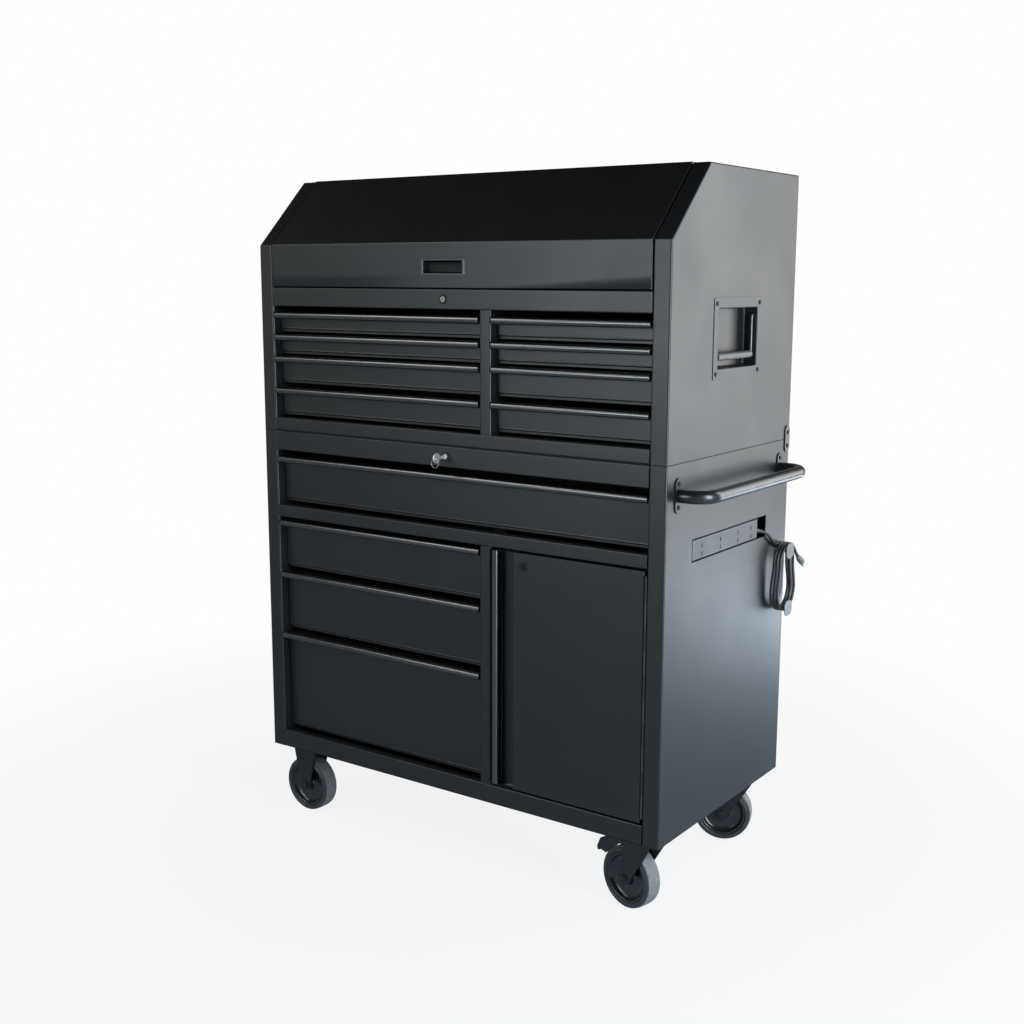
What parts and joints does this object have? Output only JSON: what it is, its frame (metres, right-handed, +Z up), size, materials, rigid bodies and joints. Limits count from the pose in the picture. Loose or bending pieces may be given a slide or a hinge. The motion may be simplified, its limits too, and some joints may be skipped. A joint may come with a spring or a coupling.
{
  "type": "tool chest and rolling cabinet",
  "caption": "Wide top chest with a sloped lid on a rolling tool cabinet with drawers, a side door, a push handle, a power strip and casters.",
  "frame": {"origin": "on the floor, at the middle of the outer box without the free cord", "axes": "+Z up, the drawers open towards -Y, the push handle is on the +X side"},
  "size_m": [1.2554, 0.6933, 1.655],
  "materials": {
    "body_paint": "satin",
    "strip_paint": "satin",
    "black_steel": "satin",
    "caster_steel": "satin",
    "grey_steel": "satin",
    "zinc_steel": "satin",
    "nickel": "polished",
    "black_plastic": "matte",
    "grey_plastic": "satin",
    "cord_rubber": "satin",
    "wheel_rubber": "matte"
  },
  "bodies": {
    "carcass": {"cabinet_side_left": "body_paint", "cabinet_side_right": "body_paint", "cabinet_back": "body_paint", "cabinet_floor": "body_paint", "cabinet_frame": "body_paint", "cabinet_partition": "body_paint", "cabinet_top": "body_paint", "chest_side_left": "body_paint", "chest_side_right": "body_paint", "chest_back": "body_paint", "chest_bottom": "body_paint", "chest_till_floor": "body_paint", "chest_frame": "body_paint", "chest_partition": "body_paint", "drawer_rails": "zinc_steel", "push_handle": "black_steel", "fasteners": "nickel", "power_strip": "strip_paint", "cord_hook": "grey_steel", "power_cord_lead": "cord_rubber", "power_cord_coil": "cord_rubber", "power_plug": "grey_plastic", "side_handle_trays": "body_paint", "rigid_caster_forks": "caster_steel", "swivel_caster_plates": "caster_steel", "tie_plates": "zinc_steel", "piano_hinges": "zinc_steel", "lock_housings": "nickel"},
    "chest_drawer_left_1": {"chest_drawer_left_1": "body_paint"},
    "chest_drawer_left_2": {"chest_drawer_left_2": "body_paint"},
    "chest_drawer_left_3": {"chest_drawer_left_3": "body_paint"},
    "chest_drawer_left_4": {"chest_drawer_left_4": "body_paint"},
    "chest_drawer_right_1": {"chest_drawer_right_1": "body_paint"},
    "chest_drawer_right_2": {"chest_drawer_right_2": "body_paint"},
    "chest_drawer_right_3": {"chest_drawer_right_3": "body_paint"},
    "chest_drawer_right_4": {"chest_drawer_right_4": "body_paint"},
    "cabinet_drawer_wide": {"cabinet_drawer_wide": "body_paint"},
    "cabinet_drawer_left_1": {"cabinet_drawer_left_1": "body_paint"},
    "cabinet_drawer_left_2": {"cabinet_drawer_left_2": "body_paint"},
    "cabinet_drawer_left_3": {"cabinet_drawer_left_3": "body_paint"},
    "lid": {"lid": "body_paint", "lid_pull_cup": "black_plastic"},
    "strut_tubes": {"gas_strut_tubes": "black_steel"},
    "strut_rods": {"gas_strut_rods": "zinc_steel"},
    "door": {"door": "body_paint", "door_pull": "body_paint"},
    "chest_lock": {"chest_lock_plug": "nickel"},
    "cabinet_lock": {"cabinet_lock_plug": "nickel", "cabinet_key": "nickel"},
    "door_lock": {"door_lock_plug": "nickel"},
    "side_handle_right": {"side_handle_right": "grey_steel"},
    "side_handle_left": {"side_handle_left": "grey_steel"},
    "swivel_front": {"swivel_fork_front": "caster_steel"},
    "brake_pedal_front": {"brake_pedal_front": "black_plastic"},
    "wheel_front_right": {"wheel_front_right": "wheel_rubber"},
    "wheel_front_left": {"wheel_front_left": "wheel_rubber"},
    "swivel_rear": {"swivel_fork_rear": "caster_steel"},
    "brake_pedal_rear": {"brake_pedal_rear": "black_plastic"},
    "wheel_rear_right": {"wheel_rear_right": "wheel_rubber"},
    "wheel_rear_left": {"wheel_rear_left": "wheel_rubber"}
  },
  "joints": [
    {"name": "chest_drawer_left_1_slide", "type": "slide", "parent": "carcass", "child": "chest_drawer_left_1", "axis": [0, -1, 0], "range_m": [0, 0.4]},
    {"name": "chest_drawer_left_2_slide", "type": "slide", "parent": "carcass", "child": "chest_drawer_left_2", "axis": [0, -1, 0], "range_m": [0, 0.4]},
    {"name": "chest_drawer_left_3_slide", "type": "slide", "parent": "carcass", "child": "chest_drawer_left_3", "axis": [0, -1, 0], "range_m": [0, 0.4]},
    {"name": "chest_drawer_left_4_slide", "type": "slide", "parent": "carcass", "child": "chest_drawer_left_4", "axis": [0, -1, 0], "range_m": [0, 0.4]},
    {"name": "chest_drawer_right_1_slide", "type": "slide", "parent": "carcass", "child": "chest_drawer_right_1", "axis": [0, -1, 0], "range_m": [0, 0.4]},
    {"name": "chest_drawer_right_2_slide", "type": "slide", "parent": "carcass", "child": "chest_drawer_right_2", "axis": [0, -1, 0], "range_m": [0, 0.4]},
    {"name": "chest_drawer_right_3_slide", "type": "slide", "parent": "carcass", "child": "chest_drawer_right_3", "axis": [0, -1, 0], "range_m": [0, 0.4]},
    {"name": "chest_drawer_right_4_slide", "type": "slide", "parent": "carcass", "child": "chest_drawer_right_4", "axis": [0, -1, 0], "range_m": [0, 0.4]},
    {"name": "cabinet_drawer_wide_slide", "type": "slide", "parent": "carcass", "child": "cabinet_drawer_wide", "axis": [0, -1, 0], "range_m": [0, 0.4]},
    {"name": "cabinet_drawer_left_1_slide", "type": "slide", "parent": "carcass", "child": "cabinet_drawer_left_1", "axis": [0, -1, 0], "range_m": [0, 0.4]},
    {"name": "cabinet_drawer_left_2_slide", "type": "slide", "parent": "carcass", "child": "cabinet_drawer_left_2", "axis": [0, -1, 0], "range_m": [0, 0.4]},
    {"name": "cabinet_drawer_left_3_slide", "type": "slide", "parent": "carcass", "child": "cabinet_drawer_left_3", "axis": [0, -1, 0], "range_m": [0, 0.4]},
    {"name": "lid_hinge", "type": "hinge", "parent": "carcass", "child": "lid", "pos_m": [-0.03875, 0.3307, 1.635], "axis": [-1, 0, 0], "range_deg": [0, 70]},
    {"name": "strut_pivot", "type": "hinge", "parent": "carcass", "child": "strut_tubes", "pos_m": [-0.03875, 0.1024, 1.3682], "axis": [1, 0, 0], "range_deg": [0, 1.7]},
    {"name": "strut_slide", "type": "slide", "parent": "strut_tubes", "child": "strut_rods", "axis": [0, 0.5333, 0.8459], "range_m": [0, 0.0795]},
    {"name": "door_hinge", "type": "hinge", "parent": "carcass", "child": "door", "pos_m": [0.49995, -0.2853, 0.52], "axis": [0, 0, 1], "range_deg": [0, 100]},
    {"name": "chest_lock_turn", "type": "hinge", "parent": "carcass", "child": "chest_lock", "pos_m": [-0.03875, -0.2876, 1.365], "axis": [0, 1, 0], "range_deg": [0, 90]},
    {"name": "cabinet_lock_turn", "type": "hinge", "parent": "carcass", "child": "cabinet_lock", "pos_m": [-0.03475, -0.2876, 1.005], "axis": [0, 1, 0], "range_deg": [0, 90]},
    {"name": "door_lock_turn", "type": "hinge", "parent": "door", "child": "door_lock", "pos_m": [0.18625, -0.2876, 0.772], "axis": [0, -1, 0], "range_deg": [0, 90]},
    {"name": "side_handle_right_swing", "type": "hinge", "parent": "carcass", "child": "side_handle_right", "pos_m": [0.53525, 0.0254, 1.332], "axis": [0, -1, 0], "range_deg": [0, 90]},
    {"name": "side_handle_left_swing", "type": "hinge", "parent": "carcass", "child": "side_handle_left", "pos_m": [-0.61275, 0.0254, 1.332], "axis": [0, 1, 0], "range_deg": [0, 90]},
    {"name": "swivel_front_turn", "type": "hinge", "parent": "carcass", "child": "swivel_front", "pos_m": [0.47225, -0.2216, 0.17], "axis": [0, 0, 1], "continuous": true},
    {"name": "wheel_front_right_roll", "type": "hinge", "parent": "swivel_front", "child": "wheel_front_right", "pos_m": [0.43812, -0.21385, 0.0725], "axis": [0.2215, 0.9751, 0], "continuous": true},
    {"name": "brake_pedal_front_tip", "type": "hinge", "parent": "swivel_front", "child": "brake_pedal_front", "pos_m": [0.42349, -0.21052, 0.157], "axis": [0.2215, 0.9751, 0], "range_deg": [0, 12]},
    {"name": "wheel_front_left_roll", "type": "hinge", "parent": "carcass", "child": "wheel_front_left", "pos_m": [-0.54975, -0.2216, 0.0725], "axis": [0, 1, 0], "continuous": true},
    {"name": "swivel_rear_turn", "type": "hinge", "parent": "carcass", "child": "swivel_rear", "pos_m": [0.47225, 0.2614, 0.17], "axis": [0, 0, 1], "continuous": true},
    {"name": "wheel_rear_right_roll", "type": "hinge", "parent": "swivel_rear", "child": "wheel_rear_right", "pos_m": [0.439, 0.25047, 0.0725], "axis": [-0.3123, 0.95, 0], "continuous": true},
    {"name": "brake_pedal_rear_tip", "type": "hinge", "parent": "swivel_rear", "child": "brake_pedal_rear", "pos_m": [0.42475, 0.24578, 0.157], "axis": [-0.3123, 0.95, 0], "range_deg": [0, 12]},
    {"name": "wheel_rear_left_roll", "type": "hinge", "parent": "carcass", "child": "wheel_rear_left", "pos_m": [-0.54975, 0.2614, 0.0725], "axis": [0, 1, 0], "continuous": true}
  ],
  "couplings": [
    {"joint": "strut_pivot", "follows": "lid_hinge", "ratio": 0.023979},
    {"joint": "strut_slide", "follows": "lid_hinge", "m_per_rad": 0.064779}
  ]
}
